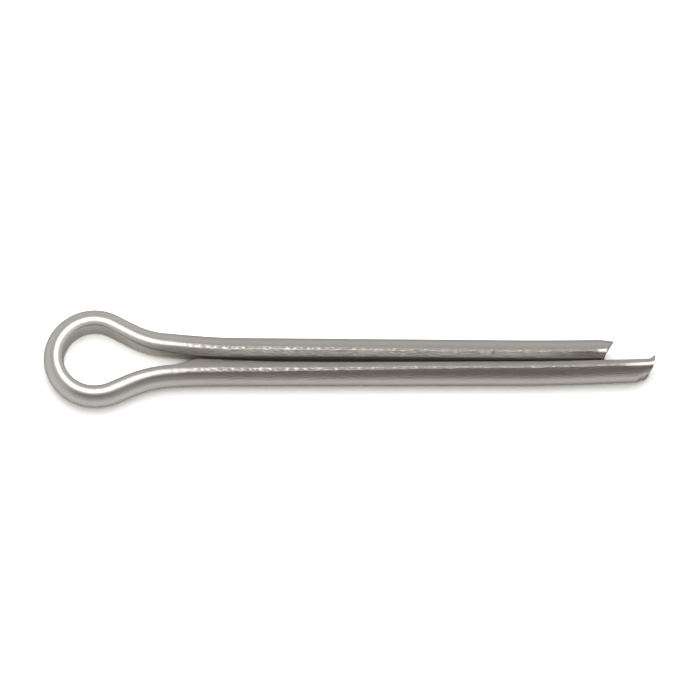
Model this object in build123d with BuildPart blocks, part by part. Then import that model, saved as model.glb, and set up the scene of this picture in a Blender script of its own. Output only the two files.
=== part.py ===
from build123d import *
import os

# A cotter pin bent from one length of half-round wire, lying flat.
# X runs along the shank from the eye to the ends of the legs, and Z points up out of the eye's plane.
# The origin is on the shank's axis, in the plane where the shoulders stop in the mouth of the hole.

# Wire section, in millimetres
wire_width = 4.53  # across the flat side, before its edges are rounded
leg_thickness = 2.1  # from the flat side to the round back, along the legs
eye_thickness = 1.83  # the same round the eye, where the bend has drawn the wire thinner
edge_radius = 0.46  # between the flat side and the back

# Eye
eye_radius = 2.97  # to the flat side of the wire, which is the inside of the eye
eye_distance = 8.5  # from the hole's mouth back to the centre of the eye

# Shoulders and throat, where the flat side's line turns twice on its way from the eye to a leg
shoulder_distance = 3.76  # from the hole's mouth back to the corner of the first turn
shoulder_half_gap = 0.9  # from the shank's axis to that corner
shoulder_radius = 10.0  # of the first turn, and the second is as large as the run between them allows
throat_distance = 1.34  # from the hole's mouth on to the corner of the second turn
throat_half_gap = 0.28  # from the shank's axis to that corner

# Legs
length = 40.0  # from the hole's mouth to the end of the short leg, at the middle of the wire
long_leg_extra = 3.85  # how much further the long leg runs
end_half_gap = 0.07  # from the shank's axis to the flat side at the end of a leg
shear_angle = 21.0  # of both cut ends, off square, in degrees

# The short leg is on the +Y side and the long leg on the -Y side
leg_lengths = {1: length, -1: length + long_leg_extra}
eye_centre = (-eye_distance, 0)


def wire_section(path, share, outward, thickness):
    """Half-round section square to a path, with its flat side on the path and its back outward."""
    sideways = outward * Axis.Z.direction.cross(path % share)
    with BuildSketch(Plane(path @ share, x_dir=sideways, z_dir=path % share)) as section:
        with BuildLine():
            flat_side = Line((0, -wire_width / 2), (0, wire_width / 2))
            ThreePointArc(flat_side @ 0, (thickness, 0), flat_side @ 1)
        make_face()
        fillet(section.vertices(), edge_radius)
    return section.sketch


def side_line(side):
    """Flat side's line down one side of the pin: flank, shoulder, throat and leg, in order from the eye."""
    shoulder = (-shoulder_distance, side * shoulder_half_gap)
    throat = Vector(throat_distance, side * throat_half_gap)
    leg_end = Vector(leg_lengths[side] + leg_thickness, side * end_half_gap)
    leg_facing = (leg_end - throat).normalized()
    with BuildLine() as line:
        ring = CenterArc(eye_centre, eye_radius, 0, 360, mode=Mode.PRIVATE)
        tangents = ConstrainedLines(ring, shoulder, mode=Mode.PRIVATE).edges()
        flank_start = tangents.sort_by(Axis((0, 0, 0), (0, side, 0)))[-1] @ 0
        bend = FilletPolyline(flank_start, shoulder, throat, radius=shoulder_radius, mode=Mode.PRIVATE)
        flank, shoulder_turn, run = bend.edges().sort_by(Axis.X)
        add([flank, shoulder_turn])
        throat_turn = TangentArc(run @ 0, throat + run.length * leg_facing, tangent=run % 0)
        Line(throat_turn @ 1, leg_end)
    return line.edges().sort_by(Axis.X)


def side_piece(side, line):
    """One side of the pin from the eye to its sheared end, as a solid."""
    neck = Wire(line[:-1])
    leg = line[-1]
    with BuildPart() as piece:
        # Flank, shoulder and throat, where the wire goes from the eye's thickness to the leg's
        neck_start = wire_section(neck, 0, side, eye_thickness)
        neck_end = wire_section(neck, 1, side, leg_thickness)
        sweep([neck_start, neck_end], path=neck, multisection=True)

        # Leg, straight to past its end, then sheared: both cuts lean the same way,
        # so the +Y edge of each leg is the longer one
        sweep(wire_section(leg, 0, side, leg_thickness), path=leg)
        cut_middle = (leg_lengths[side], side * leg_thickness / 2)
        cut_facing = Axis.X.direction.rotate(Axis.Z, -shear_angle)
        split(bisect_by=Plane(cut_middle, z_dir=cut_facing), keep=Keep.BOTTOM)
    return piece.part


side_lines = {side: side_line(side) for side in leg_lengths}
side_pieces = [side_piece(side, line) for side, line in side_lines.items()]

with BuildPart() as cotter_pin:
    # Eye, from the short leg's flank round to the long leg's flank
    with BuildLine() as eye_line:
        eye_back = (-eye_distance - eye_radius, 0)
        ThreePointArc(side_lines[1][0] @ 0, eye_back, side_lines[-1][0] @ 0)
    sweep(wire_section(eye_line.line, 0, -1, eye_thickness), path=eye_line.line)
    add(side_pieces)

cotter_pin.part.label = "cotter_pin"
os.makedirs("parts", exist_ok=True)
export_step(cotter_pin.part, "parts/cotter_pin.step")
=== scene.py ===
import math

import bpy
import numpy as np
from bpy.props import FloatProperty, FloatVectorProperty, IntProperty, PointerProperty
from mathutils import Matrix, Vector


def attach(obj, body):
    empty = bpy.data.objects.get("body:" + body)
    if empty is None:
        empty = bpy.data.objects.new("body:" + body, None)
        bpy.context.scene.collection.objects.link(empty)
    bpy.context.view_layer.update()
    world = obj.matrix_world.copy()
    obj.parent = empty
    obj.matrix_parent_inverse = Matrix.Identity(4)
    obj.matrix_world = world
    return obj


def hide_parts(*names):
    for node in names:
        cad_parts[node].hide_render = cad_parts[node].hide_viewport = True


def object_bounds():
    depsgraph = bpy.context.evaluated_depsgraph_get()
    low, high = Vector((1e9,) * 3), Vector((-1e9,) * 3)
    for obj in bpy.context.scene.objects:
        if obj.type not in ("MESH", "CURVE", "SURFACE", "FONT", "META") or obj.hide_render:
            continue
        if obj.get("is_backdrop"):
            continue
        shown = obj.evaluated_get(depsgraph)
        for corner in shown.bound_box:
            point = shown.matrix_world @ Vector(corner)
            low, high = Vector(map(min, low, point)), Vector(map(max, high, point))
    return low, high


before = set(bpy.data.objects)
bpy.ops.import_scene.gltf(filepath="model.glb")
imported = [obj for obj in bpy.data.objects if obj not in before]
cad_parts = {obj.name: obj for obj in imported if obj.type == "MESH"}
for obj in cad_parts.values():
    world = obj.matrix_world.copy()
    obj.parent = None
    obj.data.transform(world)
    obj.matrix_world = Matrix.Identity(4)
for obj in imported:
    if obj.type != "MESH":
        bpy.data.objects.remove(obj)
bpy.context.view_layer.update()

bl_info = {
    "name": "Cotter Pin",
    "version": (1, 0, 0),
    "blender": (4, 5, 0),
    "location": "3D View > Sidebar > Cotter Pin",
    "description": "A cotter pin bent from half-round steel wire, on a plain white studio floor",
    "category": "Add Mesh",
}

MM = 0.001
PIN_NODE = "cotter_pin"
PIN_BODY = "root"
SCUFF_SEED = 3
RIDGE_SEED = 7
THROAT_PEAK = 2.6  # brings the largest value of sqrt(b) (1 - b) to about 1
SHARP_ANGLE = math.radians(50.0)


def distance(name, description, default):
    """A length in metres that the sidebar shows in the scene's own unit."""
    return FloatProperty(name=name, description=description, default=default, unit="LENGTH", precision=6)


def angle(name, description, degrees):
    """An angle given in degrees."""
    return FloatProperty(name=name, description=description, default=math.radians(degrees), subtype="ANGLE")


def share(name, description, default):
    """A plain share of something else."""
    return FloatProperty(name=name, description=description, default=default, precision=4)


def count(name, description, default):
    """A number of points or rings."""
    return IntProperty(name=name, description=description, default=default)


def colour(name, description, default):
    """A linear colour without alpha."""
    return FloatVectorProperty(
        name=name, description=description, default=default, subtype="COLOR", size=3, min=0.0, max=1.0)


class WireSizes(bpy.types.PropertyGroup):
    """Sizes of the bent wire, where lengths along X are counted from the mouth of the hole."""

    wire_width: distance("Wire Width", "Across the flat side, before its edges are rounded", 4.53 * MM)
    leg_thickness: distance("Leg Thickness", "From the flat side to the legs' round back", 2.04 * MM)
    eye_thickness: distance("Eye Thickness", "The same round the eye, thinned by the bend", 1.83 * MM)
    uneven: distance("Uneven", "How much thicker the short leg is, and thinner the long one", 0.09 * MM)
    long_wear: distance("Long Wear", "How much thinner still the long leg is worn", 0.02 * MM)
    neck_swell: distance("Neck Swell", "How much thicker the short leg's neck is", 0.12 * MM)
    neck_wear: distance("Neck Wear", "How much thinner the long leg's neck is", 0.07 * MM)
    end_thinning: distance("End Thinning", "How much thinner the long leg is at its end", 0.1 * MM)
    thinning_reach: distance("Thinning Reach", "How far back from its end that starts", 12.0 * MM)
    leg_back: share("Leg Back", "Radius of the legs' outer arc, over that of a back of one arc", 0.78)
    eye_back: share("Eye Back", "The same round the eye", 0.77)
    back_turn: angle("Back Turn", "Where the back's outer arc goes over into its flatter arc", 37.5)
    short_foot: distance("Short Facet Foot", "Height where the short leg's facet starts", 1.66 * MM)
    long_foot: distance("Long Facet Foot", "The same on the long leg", 1.62 * MM)
    eye_foot: distance("Eye Facet Foot", "The same round the eye", 1.4 * MM)
    short_dip: distance("Short Facet Dip", "How much lower the short leg's foot is where worn", 0.12 * MM)
    short_dip_place: distance("Short Dip Place", "How far along the leg that is", 7.5 * MM)
    short_dip_reach: distance("Short Dip Reach", "How far either way the leg is worn", 14.0 * MM)
    long_dip: distance("Long Facet Dip", "How much lower the long leg's foot is where worn", 0.225 * MM)
    long_dip_place: distance("Long Dip Place", "How far along the leg that is", 9.0 * MM)
    long_dip_reach: distance("Long Dip Reach", "How far either way the leg is worn", 14.0 * MM)
    neck_drop: distance("Neck Drop", "How much lower the foot is at the short leg's neck", 0.06 * MM)
    eye_under: distance("Eye Under", "How much further down the lower facet starts at the eye", 0.3 * MM)
    throat_under: distance("Throat Under", "How much further up it starts at the throat", 0.7 * MM)
    throat_press: distance("Throat Press", "How far the long leg's flat side is pressed over", 0.55 * MM)
    press_start: distance("Press Start", "How far along the leg that starts", 0.8 * MM)
    press_full: distance("Press Full", "How far along the leg it is full", 3.4 * MM)
    press_fade: distance("Press Fade", "How far on from there it has faded to about a third", 4.5 * MM)
    leg_slope: angle("Leg Facet Slope", "Of the legs' facet between the flat side and the ridge", 27.0)
    throat_slope: angle("Throat Facet Slope", "The same where the short leg starts", 35.0)
    end_slope: angle("End Facet Slope", "The same at the short leg's end", 36.0)
    eye_slope: angle("Eye Facet Slope", "The same round the eye", 26.0)
    slope_pivot: distance("Slope Pivot", "How far out from the flat side the facet turns", 0.65 * MM)
    slope_reach: distance("Slope Reach", "How far from the short leg's start and end it turns", 9.0 * MM)
    leg_ridge: distance("Leg Ridge Radius", "Between the legs' facet and the back", 0.2 * MM)
    throat_ridge: distance("Throat Ridge Radius", "The same where a leg starts", 0.52 * MM)
    glint_ridge: distance("Glint Ridge Radius", "The same at a cut end", 0.45 * MM)
    eye_ridge: distance("Eye Ridge Radius", "The same round the eye, flattened by the bend", 0.74 * MM)
    ridge_scatter: share("Ridge Scatter", "How much the legs' ridge radius wanders", 0.08)
    throat_fade: distance("Throat Fade", "How far along a leg the ridge sharpens", 31.0 * MM)
    fresh_power: share("Fresh Power", "Of the way left along that, for the ridge's freshness", 1.2)
    long_fresh: share("Long Fresh", "Least freshness of the long leg's ridge", 0.25)
    glint_fresh: share("Glint Fresh", "Least freshness of a ridge at a cut end", 0.8)
    eye_fresh: share("Eye Fresh", "Freshness added round the eye", 0.5)
    leg_corner: distance("Leg Corner Radius", "Between the legs' flat side and their facet", 0.2 * MM)
    neck_corner: distance("Neck Corner Radius", "The same half-way from the eye to a leg", 0.3 * MM)
    eye_corner: distance("Eye Corner Radius", "The same round the eye", 0.22 * MM)
    # Painted light: the share of the lighter flat-side colour on the flat sides away from the necks, in the
    # gap and inside the eye.
    leg_painted_light_share: share("Leg Inside", "Share of the necks' inside colour on the other flat sides", 0.35)
    scuff: distance("Scuff", "How far the scuffed ridge wanders up and down", 0.005 * MM)
    scuff_length: distance("Scuff Length", "Of one scuff along the wire", 0.11 * MM)
    eye_radius: distance("Eye Radius", "To the flat side of the wire, inside the eye", 2.97 * MM)
    eye_distance: distance("Eye Distance", "Back to the centre of the eye", 8.5 * MM)
    shoulder_distance: distance("Shoulder Distance", "Back to the corner of the first turn", 3.76 * MM)
    shoulder_half_gap: distance("Shoulder Half Gap", "From the shank's axis to that corner", 0.9 * MM)
    shoulder_radius: distance("Shoulder Radius", "Of the first turn", 10.0 * MM)
    throat_distance: distance("Throat Distance", "On to the corner of the second turn", 1.34 * MM)
    throat_half_gap: distance("Throat Half Gap", "From the shank's axis to that corner", 0.28 * MM)
    short_leg: distance("Short Leg", "On to the end of the short leg, at the middle of the wire", 40.0 * MM)
    long_leg: distance("Long Leg", "On to the end of the long leg, at the middle of the wire", 43.85 * MM)
    short_end_gap: distance("Short End Gap", "From the shank's axis to the short leg's end", 0.16 * MM)
    long_end_gap: distance("Long End Gap", "The same on the long leg, which leans over", -0.05 * MM)
    short_cut_back: distance("Short Cut Back", "How far the short leg's flat side stops short", 0.62 * MM)
    short_cut_drawn: distance("Short Cut Drawn", "How far its back is drawn past the flat side", 1.07 * MM)
    long_cut_on: distance("Long Cut On", "How far the long leg's flat side runs on", 0.33 * MM)
    long_cut_angle: angle("Long Cut Angle", "Of the long leg's cut, off square", 10.0)
    long_cut_roll: distance("Long Cut Roll", "How far the cut has rolled its back over", 0.8 * MM)
    cut_lean: share("Cut Lean", "How far a cut leans back under itself, as a share of its height", 0.1)
    cut_reach: distance("Cut Reach", "How far back from a cut the wire gives way to it", 1.6 * MM)
    long_burr: distance("Long Burr", "How far the cut has pushed the long leg's +Y edge out", 0.33 * MM)
    burr_reach: distance("Burr Reach", "How far back from the cut that is seen", 0.5 * MM)
    end_roll: distance("End Roll", "How far the back is pressed in at a cut", 0.2 * MM)
    roll_reach: distance("Roll Reach", "How far back from a cut that is seen", 1.1 * MM)
    glint_full: distance("Glint Full", "How far back from a cut the ridge is bare", 0.7 * MM)
    short_glint: distance("Short Glint", "How far back the short leg's ridge is as worn as ever", 1.3 * MM)
    long_glint: distance("Long Glint", "The same on the long leg", 3.4 * MM)
    eye_lean: distance("Eye Lean", "How far the eye sits off the shank's axis", 0.22 * MM)
    eye_squeeze: share("Eye Squeeze", "How much narrower the eye is than round", 0.025)
    bow_start: distance("Bow Start", "Where the legs start to bow", 30.7 * MM)
    bow_rise: distance("Bow Rise", "How far the long leg's end has bowed sideways", 0.26 * MM)
    ring_step: distance("Ring Step", "Between the rings of the mesh along the wire", 0.1 * MM)
    flat_points: count("Flat Points", "Points across the flat side", 5)
    ridge_points: count("Ridge Points", "Points round each ridge", 11)
    corner_points: count("Corner Points", "Points round each corner", 7)
    back_points: count("Back Points", "Points round the back's outer arc", 22)
    upper_points: count("Upper Points", "Points round each flatter arc of the back", 8)
    cap_rings: count("Cap Rings", "Rings across a cut end", 8)


class WireFinish(bpy.types.PropertyGroup):
    """Colours and surface of the steel, with painted light on the flat sides."""

    steel_colour: colour("Steel Colour", "Reflection of the bare steel", (0.36, 0.348, 0.334))
    dull_colour: colour("Dull Colour", "Reflection of the dulled legs", (0.302, 0.29, 0.273))
    # Painted light: this lighter colour on the flat sides, strongest at the necks, stands in for the light
    # that brightens the gap between the legs and the necks' inner walls.
    painted_light_inside_colour: colour("Inside Colour", "Reflection of the flat side at the necks", (0.52, 0.5, 0.465))
    graze_colour: colour("Graze Colour", "Share of the light reflected at a low angle", (0.35, 0.34, 0.33))
    eye_roughness: share("Eye Roughness", "Of the burnished bend", 0.37)
    leg_roughness: share("Leg Roughness", "Of the legs", 0.3)
    worn_roughness: share("Worn Roughness", "Of the worn ridge along the legs", 0.85)
    inside_roughness: share("Inside Roughness", "Of the flat sides between the legs", 0.6)
    fleck_length: distance("Fleck Length", "Of a burnished fleck on the worn ridge", 0.42 * MM)
    fleck_detail: share("Fleck Detail", "Finer layers in the noise of the flecks", 1.0)
    fleck_level: share("Fleck Level", "Of the noise above which the ridge is burnished", 0.69)
    fleck_blur: share("Fleck Blur", "How far either side of that level a fleck fades", 0.16)
    fleck_fresh: share("Fleck Fresh", "How much lower that level is where a leg starts", 0.19)
    grain_depth: distance("Grain Depth", "Of the fine grain along the legs", 0.03 * MM)
    grain_length: distance("Grain Length", "Of the grain along the wire", 0.5 * MM)
    grain_width: distance("Grain Width", "Of the grain across the wire", 0.16 * MM)
    grain_detail: share("Grain Detail", "Finer layers in the noise of the grain", 3.0)
    eye_grain: share("Eye Grain", "Strength of the grain round the eye, where the legs' is 1", 0.15)


class StudioSettings(bpy.types.PropertyGroup):
    """Floor, light and camera."""

    floor_colour: colour("Floor Colour", "Of the plain floor", (0.9, 0.9, 0.9))
    floor_exposure: share("Floor Exposure", "How much brighter than white paper the floor looks", 1.65)
    floor_size: distance("Floor Size", "Side of the square floor", 6.0)
    lamp_height: distance("Lamp Height", "Of the soft box over the pin", 0.5)
    lamp_size: distance("Lamp Size", "Side of the soft box", 0.5)
    lamp_shift: distance("Lamp Shift", "How far behind the pin the soft box hangs", 0.07)
    lamp_colour: colour("Lamp Colour", "Of the soft box", (1.0, 0.99, 0.965))
    lamp_radiance: share("Lamp Radiance", "Of the soft box's face, where 1 is white", 3.8)
    room_colour: colour("Room Colour", "Of the room", (1.0, 0.99, 0.97))
    room_spill: share("Room Spill", "Share of the room's light that reaches the floor", 0.12)
    dim_colour: colour("Dim Colour", "Of the room low down on the camera's side", (0.26, 0.232, 0.21))
    dim_elevation: angle("Dim Elevation", "Of the middle of the dim part", 18.5)
    dim_width: share("Dim Width", "How far the dim part is stretched sideways, where 1 is round", 2.0)
    dim_reach: angle("Dim Reach", "From its middle to where the dim part starts to fade", 20.0)
    dim_fade: angle("Dim Fade", "From there to where it has faded", 9.0)
    camera_elevation: angle("Camera Elevation", "Above the floor", 75.0)
    camera_roll: angle("Camera Roll", "Of the camera about its own view", 0.44)
    camera_distance: distance("Camera Distance", "From the point it looks at", 0.7)
    view_width: distance("View Width", "Width of the square picture at that point", 66.04 * MM)
    aim_x: distance("Aim X", "Of the point in the picture's middle", 15.57 * MM)
    aim_y: distance("Aim Y", "Of the point in the picture's middle", 1.28 * MM)


def smooth_step(value, start, end):
    """0 before start, 1 after end, and 3 q^2 - 2 q^3 between them, where q is the share of the way."""
    q = np.clip((value - start) / (end - start), 0.0, 1.0)
    return q * q * (3.0 - 2.0 * q)


def near_end(line, reach):
    """1 at a cut end, falling smoothly to 0 at the given reach back from it."""
    return 1.0 - smooth_step(line["to_end"], 0.0, reach)


def scuff_noise(sizes, line, seed):
    """Normal noise along the rings, with unit spread.

    It is smoothed by a bell curve whose own spread is a scuff's length, out to three of them.
    """
    reach = sizes.scuff_length / sizes.ring_step
    offset = np.arange(-round(3 * reach) - 1, round(3 * reach) + 2)
    weight = np.exp(-0.5 * (offset / reach) ** 2)
    noise = np.random.default_rng(seed).normal(size=len(line["along"]))
    return np.convolve(noise, weight / np.sqrt(np.sum(weight**2)), mode="same")


def side_line(sizes, leg_length, throat_half_gap, end_half_gap):
    """Flat side's line down the -Y side, from the eye's back to the leg's end.

    Its heading changes evenly with distance along each arc and stays put along each straight, so the
    heading is read off between knots. A point is the running sum of the steps, each taken at the heading
    of its middle. The flank is the tangent from the eye's ring to the shoulder's corner, and the throat's
    arc takes the rest of the run from the shoulder's arc to its own corner. The bend falls from 1 at the
    end of the eye's arc to 0 at the end of the throat's, and the way along the leg is counted from the
    throat's start.
    """
    reach_x = sizes.eye_distance - sizes.shoulder_distance
    reach = math.hypot(reach_x, sizes.shoulder_half_gap)
    flank = math.sqrt(reach**2 - sizes.eye_radius**2)
    flank_heading = math.asin(sizes.eye_radius / reach) - math.atan2(sizes.shoulder_half_gap, reach_x)
    run_x = sizes.shoulder_distance + sizes.throat_distance
    run_y = sizes.shoulder_half_gap - throat_half_gap
    run_heading = math.atan2(run_y, run_x)
    leg_x = leg_length + sizes.leg_thickness - sizes.throat_distance
    leg_heading = math.atan2(throat_half_gap - end_half_gap, leg_x)

    shoulder_turn = flank_heading - run_heading
    shoulder_tangent = sizes.shoulder_radius * math.tan(shoulder_turn / 2)
    throat_turn = run_heading - leg_heading
    throat_tangent = math.hypot(run_x, run_y) - shoulder_tangent
    throat_radius = throat_tangent / math.tan(throat_turn / 2)
    leg_start = sizes.throat_distance + throat_tangent * math.cos(leg_heading)

    stretches = [
        0.0,
        sizes.eye_radius * (math.pi / 2 + flank_heading),
        flank - shoulder_tangent,
        sizes.shoulder_radius * shoulder_turn,
        throat_radius * throat_turn,
        (leg_length - leg_start) / math.cos(leg_heading),
    ]
    knots = np.cumsum(stretches)
    _, eye_end, _, throat_start, throat_end, leg_end = knots
    headings = [-math.pi / 2, flank_heading, flank_heading, run_heading, leg_heading, leg_heading]
    along = np.linspace(0.0, leg_end, round(leg_end / sizes.ring_step) + 1)
    heading = np.interp(along, knots, headings)
    middle = (heading[1:] + heading[:-1]) / 2
    steps = np.diff(along)[:, None] * np.column_stack([np.cos(middle), np.sin(middle)])
    start = np.array([[-sizes.eye_distance - sizes.eye_radius, 0.0]])
    return {
        "point": np.concatenate([start, start + np.cumsum(steps, axis=0)]),
        "heading": heading,
        "along": along,
        "bend": 1.0 - smooth_step(along, eye_end, throat_end),
        "on_leg": along - throat_start,
        "to_end": leg_end - along,
    }


def wire_line(sizes):
    """The whole flat side's line, from the short leg's end round the eye to the long leg's end.

    The short leg's side is a line of its own length and gaps, mirrored in the shank's axis and run
    backwards, with its distances along the wire below 0. A neck is 4 b (1 - b), which is 1 half-way
    between the eye's bend b and a leg. A glint is where a cut has left the ridge bare. The ridge's
    freshness is the way left along its fade to a power, and at least a share of the glint. The facet's
    slope changes towards the short leg's start and end.
    """
    short = side_line(sizes, sizes.short_leg, sizes.throat_half_gap - sizes.uneven, sizes.short_end_gap)
    long = side_line(sizes, sizes.long_leg, sizes.throat_half_gap + sizes.uneven, sizes.long_end_gap)
    mirrored = short["point"][:0:-1] * np.array([1.0, -1.0])
    line = {key: np.concatenate([short[key][:0:-1], long[key]]) for key in ("bend", "on_leg", "to_end")}
    line["point"] = np.concatenate([mirrored, long["point"]])
    line["heading"] = np.concatenate([-math.pi - short["heading"][:0:-1], long["heading"]])
    line["along"] = np.concatenate([-short["along"][:0:-1], long["along"]])
    line["is_short"] = line["along"] < 0.0
    line["is_long"] = line["along"] > 0.0

    line["neck"] = 4.0 * line["bend"] * (1.0 - line["bend"])
    glint_reach = np.where(line["is_long"], sizes.long_glint, sizes.short_glint)
    line["glint"] = 1.0 - smooth_step(line["to_end"], sizes.glint_full, glint_reach)
    fresh = (1.0 - np.clip(line["on_leg"] / sizes.throat_fade, 0.0, 1.0)) ** sizes.fresh_power
    line["fresh"] = np.maximum(fresh, sizes.glint_fresh * line["glint"])
    at_end = near_end(line, sizes.slope_reach) * line["is_short"]
    at_throat = (1.0 - smooth_step(line["on_leg"], 0.0, sizes.slope_reach)) * line["is_short"]
    line["slope"] = sizes.leg_slope + (sizes.end_slope - sizes.leg_slope) * at_end
    line["slope"] += (sizes.throat_slope - sizes.leg_slope) * at_throat
    return line


def wire_thickness(sizes, line):
    """Thickness of the wire along its line.

    Each leg's own goes over into the eye's with the bend. A neck adds its swell on the short leg and takes
    its wear off the long leg, which also thins towards its end.
    """
    leg = sizes.leg_thickness - np.sign(line["along"]) * sizes.uneven - sizes.long_wear * line["is_long"]
    thickness = leg + (sizes.eye_thickness - leg) * line["bend"]
    thickness = thickness + np.where(line["is_short"], sizes.neck_swell, -sizes.neck_wear) * line["neck"]
    return thickness - sizes.end_thinning * near_end(line, sizes.thinning_reach) * line["is_long"]


def edge_sizes(sizes, line):
    """Facet's foot, ridge's radius and corner's radius along the wire.

    A leg's foot dips as exp(-q^2), where q is the way from the dip's place over its reach, and drops
    where the facet is steeper, so that the facet turns about its pivot. The ridge is roundest round the
    eye, falls to the throat's radius, sharpens along the leg as its freshness goes, is multiplied there
    by the exponential of a noise, and is rounder again at a cut end. The corner is roundest half-way down
    the neck.
    """
    bend = line["bend"]
    dip_place = np.where(line["is_long"], sizes.long_dip_place, sizes.short_dip_place)
    dip_reach = np.where(line["is_long"], sizes.long_dip_reach, sizes.short_dip_reach)
    dip = np.where(line["is_long"], sizes.long_dip, sizes.short_dip)
    dip = dip * np.exp(-(((line["on_leg"] - dip_place) / dip_reach) ** 2))
    foot = np.where(line["is_long"], sizes.long_foot, sizes.short_foot) - dip
    foot = foot - sizes.slope_pivot * (np.tan(line["slope"]) - math.tan(sizes.leg_slope))
    foot = foot + (sizes.eye_foot - foot) * bend - sizes.neck_drop * line["neck"] * line["is_short"]
    ridge = sizes.leg_ridge + (sizes.throat_ridge - sizes.leg_ridge) * line["fresh"]
    ridge = ridge * np.exp(sizes.ridge_scatter * scuff_noise(sizes, line, RIDGE_SEED))
    ridge = ridge + (sizes.glint_ridge - ridge) * line["glint"]
    ridge = ridge + (sizes.eye_ridge - ridge) * bend
    corner = sizes.leg_corner + (sizes.eye_corner - sizes.leg_corner) * bend
    corner = corner + line["neck"] * (sizes.neck_corner - corner)
    return foot, ridge, corner


def pressed_side(sizes, line):
    """Outward distance of the flat side: 0, but below 0 where the throat has pressed the long leg's over.

    The press grows smoothly from its start to where it is full, and from there fades as exp(-q).
    """
    past = line["on_leg"] - sizes.press_full
    grown = smooth_step(past, sizes.press_start - sizes.press_full, 0.0)
    faded = np.exp(-np.clip(past, 0.0, None) / sizes.press_fade)
    return -sizes.throat_press * (grown * faded * line["is_long"])


def half_round(sizes, line, thickness):
    """Outward distance and height of the wire's section, one row for each thickness.

    With thickness t and width w, one arc for the whole back has the radius (t^2 + (w/2)^2) / 2t. The
    back's outer arc is a share of that, and beyond its turn a flatter arc touches it and runs to the flat
    side's ends. A straight facet climbs from the flat side at the foot's height, at a slope that goes over
    into the eye's with the square of the bend b. The ridge is the arc that touches the facet and the
    flatter arc from inside, the corner the arc that touches the facet and the flat side. The lower edge is
    the upper one mirrored, but its foot is further out by b at the eye and further in by sqrt(b) (1 - b)
    at the throat. The rows run round the back from below, over the upper ridge and corner, down the flat
    side, and round the lower corner and ridge.
    """
    t = thickness[:, None]
    b = line["bend"][:, None]
    side = pressed_side(sizes, line)[:, None]
    foot, ridge, corner = (size[:, None] for size in edge_sizes(sizes, line))
    slope = line["slope"][:, None]
    slope = slope + (sizes.eye_slope - slope) * b**2
    turn = sizes.back_turn
    half_width = sizes.wire_width / 2
    radius = (sizes.leg_back + (sizes.eye_back - sizes.leg_back) * b) * (t**2 + half_width**2) / (2 * t)
    centre = t - radius
    spare = centre**2 + half_width**2 - radius**2
    flatter = spare / (2 * (radius + centre * math.cos(turn) - half_width * math.sin(turn)))
    upper_out = centre - flatter * math.cos(turn)
    upper_up = -flatter * math.sin(turn)
    upper = radius + flatter

    def edge(foot):
        """Rows of one edge, from the back's outer arc to the flat side, and where that starts in height."""
        rise = np.tan(slope)
        drop = foot - ridge / np.cos(slope)
        half = (rise * (drop - upper_up) - upper_out) / (1 + rise**2)
        rest = (upper_out**2 + (drop - upper_up) ** 2 - (upper - ridge) ** 2) / (1 + rise**2)
        ridge_out = -half + np.sqrt(half**2 - rest)
        ridge_up = drop + rise * ridge_out
        corner_out = side + corner
        corner_up = foot + rise * corner_out - corner / np.cos(slope)
        meeting = np.arctan2(ridge_up - upper_up, ridge_out - upper_out)
        facing = math.pi / 2 + slope
        climb = turn + (meeting - turn) * np.linspace(0.0, 1.0, sizes.upper_points + 1)[None, 1:]
        over = meeting + (facing - meeting) * np.linspace(0.0, 1.0, sizes.ridge_points + 1)[None, 1:]
        down = facing + (math.pi - facing) * np.linspace(0.0, 1.0, sizes.corner_points)[None, :]
        arcs = (
            (upper_out, upper_up, upper, climb),
            (ridge_out, ridge_up, ridge, over),
            (corner_out, corner_up, corner, down),
        )
        out = [middle + size * np.cos(turned) for middle, _, size, turned in arcs]
        up = [middle + size * np.sin(turned) for _, middle, size, turned in arcs]
        return np.concatenate(out, axis=1), np.concatenate(up, axis=1), corner_up

    over_out, over_up, flat_top = edge(foot)
    throat = THROAT_PEAK * np.sqrt(b) * (1.0 - b)
    under_out, under_up, flat_foot = edge(foot + sizes.eye_under * b - sizes.throat_under * throat)
    back = turn * np.linspace(-1.0, 1.0, sizes.back_points)[None, :] * np.ones_like(t)
    down = np.linspace(0.0, 1.0, sizes.flat_points + 2)[None, 1:-1]
    flat = flat_top - (flat_top + flat_foot) * down
    back_out = centre + radius * np.cos(back)
    outward = np.concatenate([back_out, over_out, side * np.ones_like(flat), under_out[:, ::-1]], axis=1)
    height = np.concatenate([radius * np.sin(back), over_up, flat, -under_up[:, ::-1]], axis=1)
    return outward, height


def section_rows(sizes):
    """Share of the worn ridge and of the flat side in each row of the section.

    The first is half a sine wave over a ridge, and the second climbs evenly over a corner.
    """
    bump = np.sin(np.linspace(0.0, math.pi, sizes.ridge_points + 1))[1:]
    ramp = np.linspace(0.0, 1.0, sizes.corner_points)
    before = np.zeros(sizes.upper_points)
    ridge_edge = np.concatenate([before, bump, 0 * ramp])
    flat_edge = np.concatenate([before, 0 * bump, ramp])
    back, flat = np.zeros(sizes.back_points), np.ones(sizes.flat_points)
    ridge_row = np.concatenate([back, ridge_edge, 0 * flat, ridge_edge[::-1]])
    flat_row = np.concatenate([back, flat_edge, flat, flat_edge[::-1]])
    return ridge_row, flat_row


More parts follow.
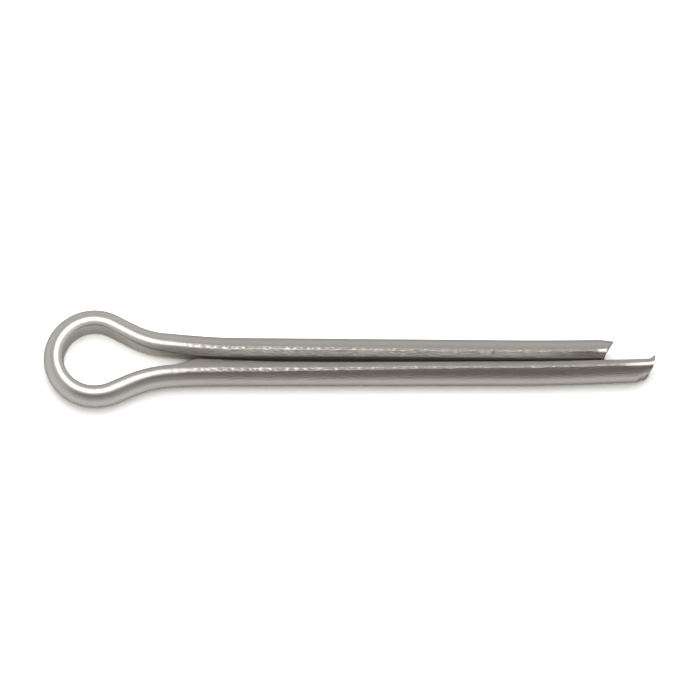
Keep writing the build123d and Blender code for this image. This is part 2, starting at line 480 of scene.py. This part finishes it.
def cut_ends(sizes, line, thickness, outward, height):
    """How far each vertex slides along the wire for its leg's cut, and its outward distance there.

    With d the depth in the section, 0 at the flat side and 1 at the back, a vertex slides on the short
    leg by d^1.5, and on the long leg by the cut's slope and d^3. It also slides by its height, for the
    cut's lean. At a cut the back is pressed in by d^4, and the long leg's flat side is pushed out into a
    burr by (1 - d)^4.
    """
    long_side = line["is_long"][:, None]
    depth = np.clip(outward / thickness[:, None], 0.0, 1.0)
    short_cut = -sizes.short_cut_back + sizes.short_cut_drawn * depth**1.5
    long_cut = sizes.long_cut_on - math.tan(sizes.long_cut_angle) * outward - sizes.long_cut_roll * depth**3
    lean = np.where(long_side, 1.0, -1.0) * sizes.cut_lean * height
    slide = (np.where(long_side, long_cut, -short_cut) + lean) * near_end(line, sizes.cut_reach)[:, None]
    burr = sizes.long_burr * long_side * near_end(line, sizes.burr_reach)[:, None]
    roll = sizes.end_roll * near_end(line, sizes.roll_reach)[:, None]
    return slide, outward - burr * (1.0 - depth) ** 4 - roll * depth**4


def close_ends(sizes, rings):
    """The rings with each cut end's outline added, shrunk evenly towards its own middle."""
    shrink = np.linspace(1.0, 0.0, sizes.cap_rings + 1)[1:-1, None, None]
    first, last = rings[0], rings[-1]
    first_middle, last_middle = first.mean(axis=0), last.mean(axis=0)
    first_cap = first_middle + (first - first_middle) * shrink[::-1]
    last_cap = last_middle + (last - last_middle) * shrink
    return np.concatenate([first_cap, rings, last_cap])


def lean_and_bow(sizes, rings):
    """Move the rings sideways by where they are along X.

    A share falls from 1 at the eye's centre to 0 one eye's width further on, and by it the eye is squeezed
    and leans over. Past its start the bow grows with the square of the way to the long leg's end.
    """
    eye_x = -sizes.eye_distance
    at_eye = 1.0 - smooth_step(rings[..., 0], eye_x, eye_x + 2 * sizes.eye_radius)
    bow = np.clip(rings[..., 0] - sizes.bow_start, 0.0, None) / (sizes.long_leg - sizes.bow_start)
    rings[..., 1] *= 1.0 - sizes.eye_squeeze * at_eye
    rings[..., 1] += sizes.eye_lean * at_eye + sizes.bow_rise * bow**2


def finish_values(sizes, line):
    """What the finish needs to know at each vertex: a value for its ring times one for its row.

    The cap rings take the values of the ring they close.
    """
    ridge_row, flat_row = section_rows(sizes)
    every_row = np.ones_like(ridge_row)
    dull = 1.0 - line["bend"]
    fresh = np.maximum(line["fresh"], sizes.long_fresh * line["is_long"])
    products = {
        "bend": (line["bend"], every_row),
        "fresh": (fresh + sizes.eye_fresh * line["bend"], every_row),
        "worn": (dull * (1.0 - line["glint"]), ridge_row),
        # Painted light: the share of the lighter flat-side colour, full at the necks and a share elsewhere,
        # standing in for light in the gap and on the necks' walls.
        "inside": (sizes.leg_painted_light_share + (1.0 - sizes.leg_painted_light_share) * line["neck"], flat_row),
        "shut": (dull, flat_row),
    }
    caps = sizes.cap_rings - 1
    return {
        key: np.pad(ring[:, None] * row, ((caps, caps), (0, 0)), mode="edge")
        for key, (ring, row) in products.items()
    }


def wire_surface(sizes):
    """Vertices of the wire, ring by ring, with their finish values and distances along and round the wire.

    A vertex is its ring's point on the flat side's line, plus the section's outward distance along the
    line's right hand, its slide along the line and its height along Z. Along the legs a noise times the
    ridge's half sine wave moves both ridges away from the middle and back.
    """
    line = wire_line(sizes)
    thickness = wire_thickness(sizes, line)
    outward, height = half_round(sizes, line, thickness)
    ridge_row, _ = section_rows(sizes)
    scuff = scuff_noise(sizes, line, SCUFF_SEED) * (1.0 - line["bend"])
    height = height + sizes.scuff * scuff[:, None] * ridge_row * np.sign(height)
    slide, outward = cut_ends(sizes, line, thickness, outward, height)

    cos, sin = np.cos(line["heading"])[:, None], np.sin(line["heading"])[:, None]
    x = line["point"][:, :1] + outward * sin + slide * cos
    y = line["point"][:, 1:] - outward * cos + slide * sin
    rings = close_ends(sizes, np.stack([x, y, height], axis=2))
    lean_and_bow(sizes, rings)
    poles = np.stack([rings[0].mean(axis=0), rings[-1].mean(axis=0)])

    caps = sizes.cap_rings - 1
    around = np.linalg.norm(np.diff(rings[caps], axis=0, append=rings[caps][:1]), axis=1)
    girth = np.concatenate([[0.0], np.cumsum(around)])
    return rings, poles, finish_values(sizes, line), np.pad(line["along"], caps, mode="edge"), girth


def wire_mesh(sizes):
    """One closed mesh: quads between neighbouring rings, and a fan of triangles at each pole.

    The UV map holds the distances along and round the wire, in millimetres.
    """
    rings, poles, values, along, girth = wire_surface(sizes)
    ring_count, around = rings.shape[:2]
    ring = np.arange(ring_count - 1)[:, None] * around
    here = np.arange(around)[None, :]
    after = (here + 1) % around
    quads = np.stack([ring + here, ring + around + here, ring + around + after, ring + after], axis=2)
    first_pole = ring_count * around
    last_pole = first_pole + 1
    last_ring = (ring_count - 1) * around
    first_fan = np.stack([np.full(around, first_pole), here[0], after[0]], axis=1)
    last_fan = np.stack([np.full(around, last_pole), last_ring + after[0], last_ring + here[0]], axis=1)

    mesh = bpy.data.meshes.new("bent_wire")
    vertices = np.concatenate([rings.reshape(-1, 3), poles])
    faces = quads.reshape(-1, 4).tolist() + first_fan.tolist() + last_fan.tolist()
    mesh.from_pydata(vertices.tolist(), [], faces)
    u = np.stack([along[:-1], along[1:], along[1:], along[:-1]], axis=1)[:, None, :] / MM
    v = np.stack([girth[:-1], girth[:-1], girth[1:], girth[1:]], axis=1)[None, :, :] / MM
    grid = np.stack(np.broadcast_arrays(u, v), axis=3).reshape(-1, 2)
    fans = np.zeros((first_fan.size + last_fan.size, 2))
    mesh.uv_layers.new(name="along_wire").data.foreach_set("uv", np.concatenate([grid, fans]).ravel())
    for key, value in values.items():
        spread = np.concatenate([value.ravel(), value[[0, -1], 0]])
        attribute = mesh.attributes.new(key, "FLOAT", "POINT")
        attribute.data.foreach_set("value", spread.astype(np.float32))
    mesh.shade_smooth()
    mesh.set_sharp_from_angle(angle=SHARP_ANGLE)
    mesh.validate()
    mesh.update()
    return mesh


def opaque(plain_colour):
    """A colour with full alpha."""
    return (*plain_colour, 1.0)


def new_material(name):
    """A material with an empty node tree."""
    material = bpy.data.materials.new(name)
    material.use_nodes = True
    material.node_tree.nodes.clear()
    return material, material.node_tree


def add_node(tree, kind, inputs, **settings):
    """A new node, with each input set to a value or linked to another node's output."""
    node = tree.nodes.new(kind)
    for name, setting in settings.items():
        setattr(node, name, setting)
    for key, value in inputs.items():
        if isinstance(value, bpy.types.NodeSocket):
            tree.links.new(value, node.inputs[key])
        else:
            node.inputs[key].default_value = value
    return node


def point_value(tree, name):
    """One of the mesh's finish values."""
    return add_node(tree, "ShaderNodeAttribute", {}, attribute_name=name).outputs["Fac"]


def calculate(tree, operation, *values, **settings):
    """Result of a sum on values or outputs."""
    inputs = dict(enumerate(values))
    return add_node(tree, "ShaderNodeMath", inputs, operation=operation, **settings).outputs["Value"]


def calculate_vector(tree, operation, *vectors):
    """A node that works on vectors or on outputs that hold them."""
    return add_node(tree, "ShaderNodeVectorMath", dict(enumerate(vectors)), operation=operation)


def map_range(tree, value, low, high, start=0.0, end=1.0, **settings):
    """Result that goes from low to high as the value goes from start to end."""
    inputs = {"Value": value, "From Min": start, "From Max": end, "To Min": low, "To Max": high}
    return add_node(tree, "ShaderNodeMapRange", inputs, **settings).outputs["Result"]


def mix_colours(tree, factor, first, second):
    """Result that goes from the first colour to the second as the factor goes from 0 to 1."""
    inputs = {"Factor": factor, "A": first, "B": second}
    return add_node(tree, "ShaderNodeMix", inputs, data_type="RGBA").outputs["Result"]


def steel_colour(tree, finish, bend):
    """Dull along the legs and bare round the eye, with a lighter colour painted over the flat sides as
    painted light in the gap and on the necks' walls.
    """
    outside = mix_colours(tree, bend, opaque(finish.dull_colour), opaque(finish.steel_colour))
    return mix_colours(tree, point_value(tree, "inside"), outside, opaque(finish.painted_light_inside_colour))


def steel_roughness(tree, finish, bend, along_wire):
    """The eye's and legs' own, rougher on the worn ridge between its flecks, and on the flat sides."""
    smooth = map_range(tree, bend, finish.leg_roughness, finish.eye_roughness)
    noise = add_node(tree, "ShaderNodeTexNoise", {
        "Vector": along_wire,
        "Scale": MM / finish.fleck_length,
        "Detail": finish.fleck_detail,
    })
    fresh = point_value(tree, "fresh")
    raised = calculate(tree, "MULTIPLY_ADD", fresh, finish.fleck_fresh, noise.outputs["Fac"])
    bare = finish.fleck_level - finish.fleck_blur
    burnished = finish.fleck_level + finish.fleck_blur
    scuffed = map_range(tree, raised, 1.0, 0.0, bare, burnished)
    worn = calculate(tree, "MULTIPLY", scuffed, point_value(tree, "worn"))
    outside = map_range(tree, worn, smooth, finish.worn_roughness)
    return map_range(tree, point_value(tree, "shut"), outside, finish.inside_roughness)


def steel_grain(tree, finish, bend, along_wire):
    """Fine bumps drawn out along the wire, weaker round the eye."""
    per_millimetre = (MM / finish.grain_length, MM / finish.grain_width, 1.0)
    noise = add_node(tree, "ShaderNodeTexNoise", {
        "Vector": calculate_vector(tree, "MULTIPLY", along_wire, per_millimetre).outputs["Vector"],
        "Scale": 1.0,
        "Detail": finish.grain_detail,
    })
    marks = add_node(tree, "ShaderNodeBump", {
        "Strength": map_range(tree, bend, 1.0, finish.eye_grain),
        "Distance": finish.grain_depth,
        "Height": noise.outputs["Fac"],
    })
    return marks.outputs["Normal"]


def steel_material(finish):
    """Drawn steel, burnished round the eye and dulled along the legs."""
    material, tree = new_material("drawn_steel")
    bend = point_value(tree, "bend")
    along_wire = add_node(tree, "ShaderNodeUVMap", {}, uv_map="along_wire").outputs["UV"]
    steel = add_node(tree, "ShaderNodeBsdfPrincipled", {
        "Base Color": steel_colour(tree, finish, bend),
        "Metallic": 1.0,
        "Roughness": steel_roughness(tree, finish, bend, along_wire),
        "Specular Tint": opaque(finish.graze_colour),
        "Normal": steel_grain(tree, finish, bend, along_wire),
    })
    add_node(tree, "ShaderNodeOutputMaterial", {"Surface": steel.outputs["BSDF"]})
    return material


class COTTERPIN_OT_bend_wire(bpy.types.Operator):
    """Bend the half-round wire into a cotter pin"""

    bl_idname = "cotter_pin.bend_wire"
    bl_label = "Bend the Wire"

    def execute(self, context):
        mesh = wire_mesh(context.scene.cotter_pin_sizes)
        wire = bpy.data.objects.new("bent_wire", mesh)
        context.scene.collection.objects.link(wire)
        mesh.materials.append(steel_material(context.scene.cotter_pin_finish))
        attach(wire, PIN_BODY)
        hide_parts(PIN_NODE)
        return {"FINISHED"}


def floor_material(studio):
    """Plain white floor that keeps its shadow, overexposed where the camera or the metal sees it."""
    material, tree = new_material("studio_floor")
    path = add_node(tree, "ShaderNodeLightPath", {}).outputs
    mirrored = calculate(tree, "ADD", path["Is Glossy Ray"], path["Is Transmission Ray"])
    seen = calculate(tree, "ADD", path["Is Camera Ray"], mirrored, use_clamp=True)
    exposed_colour = [studio.floor_exposure * value for value in studio.floor_colour]
    plain = add_node(tree, "ShaderNodeBsdfDiffuse", {"Color": opaque(studio.floor_colour)})
    exposed = add_node(tree, "ShaderNodeBsdfDiffuse", {"Color": opaque(exposed_colour)})
    either = {"Fac": seen, 1: plain.outputs["BSDF"], 2: exposed.outputs["BSDF"]}
    floor = add_node(tree, "ShaderNodeMixShader", either)
    add_node(tree, "ShaderNodeOutputMaterial", {"Surface": floor.outputs["Shader"]})
    return material


def room_world(studio):
    """A plain pale room, dim low down on the camera's side, with little of its light on the floor.

    A direction has its X divided by the dim part's width and is brought back to unit length. The room is
    dim where that lies within the reach of the dim part's middle.
    """
    world = bpy.data.worlds.new("studio_room")
    world.use_nodes = True
    tree = world.node_tree
    tree.nodes.clear()
    facing = add_node(tree, "ShaderNodeTexCoord", {}).outputs["Generated"]
    narrower = (1.0 / studio.dim_width, 1.0, 1.0)
    squeezed = calculate_vector(tree, "MULTIPLY", facing, narrower).outputs["Vector"]
    unit = calculate_vector(tree, "NORMALIZE", squeezed).outputs["Vector"]
    middle = (0.0, -math.cos(studio.dim_elevation), math.sin(studio.dim_elevation))
    towards = calculate_vector(tree, "DOT_PRODUCT", unit, middle).outputs["Value"]
    faded = math.cos(studio.dim_reach + studio.dim_fade)
    full = math.cos(studio.dim_reach)
    dim = map_range(tree, towards, 0.0, 1.0, faded, full, interpolation_type="SMOOTHSTEP")
    path = add_node(tree, "ShaderNodeLightPath", {}).outputs
    room = add_node(tree, "ShaderNodeBackground", {
        "Color": mix_colours(tree, dim, opaque(studio.room_colour), opaque(studio.dim_colour)),
        "Strength": map_range(tree, path["Is Diffuse Ray"], 1.0, studio.room_spill),
    })
    add_node(tree, "ShaderNodeOutputWorld", {"Surface": room.outputs["Background"]})
    return world


class COTTERPIN_OT_set_stage(bpy.types.Operator):
    """Lay the floor, hang the soft box and aim the camera"""

    bl_idname = "cotter_pin.set_stage"
    bl_label = "Set the Stage"

    def execute(self, context):
        scene = context.scene
        studio = scene.cotter_pin_studio
        scene.view_settings.view_transform = "Standard"
        self.lay_floor(scene, studio)
        self.hang_lamp(scene, studio)
        scene.world = room_world(studio)
        self.aim_camera(scene, studio)
        return {"FINISHED"}

    def lay_floor(self, scene, studio):
        """A square at the height of the lowest point of the wire."""
        low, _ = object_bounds()
        side = np.array([-0.5, 0.5]) * studio.floor_size
        x, y = np.meshgrid(side, side)
        corners = np.stack([x, y, np.full_like(x, low.z)], axis=2).reshape(-1, 3)
        mesh = bpy.data.meshes.new("studio_floor")
        mesh.from_pydata(corners.tolist(), [], [(0, 1, 3, 2)])
        mesh.materials.append(floor_material(studio))
        floor = bpy.data.objects.new("studio_floor", mesh)
        scene.collection.objects.link(floor)
        floor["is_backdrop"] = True

    def hang_lamp(self, scene, studio):
        """A square soft box over the middle of the pin, facing down."""
        lamp = bpy.data.lights.new("soft_box", "AREA")
        lamp.shape = "SQUARE"
        lamp.size = studio.lamp_size
        lamp.color = studio.lamp_colour
        lamp.energy = studio.lamp_radiance * math.pi * studio.lamp_size**2
        soft_box = bpy.data.objects.new("soft_box", lamp)
        soft_box.location = (studio.aim_x, studio.lamp_shift, studio.lamp_height)
        scene.collection.objects.link(soft_box)

    def aim_camera(self, scene, studio):
        """A long lens whose square picture is as wide as the view at the point it looks at."""
        camera = bpy.data.cameras.new("camera")
        camera.lens = camera.sensor_width * studio.camera_distance / studio.view_width
        elevation = studio.camera_elevation
        back = Vector((0.0, -math.cos(elevation), math.sin(elevation)))
        turn = (-back).to_track_quat("-Z", "Y").to_matrix().to_4x4()
        aim = Vector((studio.aim_x, studio.aim_y, 0.0))
        place = Matrix.Translation(aim + back * studio.camera_distance)
        viewer = bpy.data.objects.new("camera", camera)
        viewer.matrix_world = place @ turn @ Matrix.Rotation(studio.camera_roll, 4, "Z")
        scene.collection.objects.link(viewer)
        scene.camera = viewer


class COTTERPIN_PT_panel(bpy.types.Panel):
    """Sizes, finish and stage of the cotter pin"""

    bl_idname = "COTTERPIN_PT_panel"
    bl_label = "Cotter Pin"
    bl_space_type = "VIEW_3D"
    bl_region_type = "UI"
    bl_category = "Cotter Pin"

    def draw(self, context):
        for group, operator in (
            ("cotter_pin_sizes", None),
            ("cotter_pin_finish", COTTERPIN_OT_bend_wire),
            ("cotter_pin_studio", COTTERPIN_OT_set_stage),
        ):
            settings = getattr(context.scene, group)
            for name in settings.__annotations__:
                self.layout.prop(settings, name)
            if operator:
                self.layout.operator(operator.bl_idname)


CLASSES = (
    WireSizes,
    WireFinish,
    StudioSettings,
    COTTERPIN_OT_bend_wire,
    COTTERPIN_OT_set_stage,
    COTTERPIN_PT_panel,
)


def register():
    for cls in CLASSES:
        bpy.utils.register_class(cls)
    bpy.types.Scene.cotter_pin_sizes = PointerProperty(type=WireSizes)
    bpy.types.Scene.cotter_pin_finish = PointerProperty(type=WireFinish)
    bpy.types.Scene.cotter_pin_studio = PointerProperty(type=StudioSettings)


def unregister():
    del bpy.types.Scene.cotter_pin_studio
    del bpy.types.Scene.cotter_pin_finish
    del bpy.types.Scene.cotter_pin_sizes
    for cls in reversed(CLASSES):
        bpy.utils.unregister_class(cls)


def main():
    register()
    bpy.ops.cotter_pin.bend_wire()
    bpy.ops.cotter_pin.set_stage()


if __name__ == "__main__":
    main()
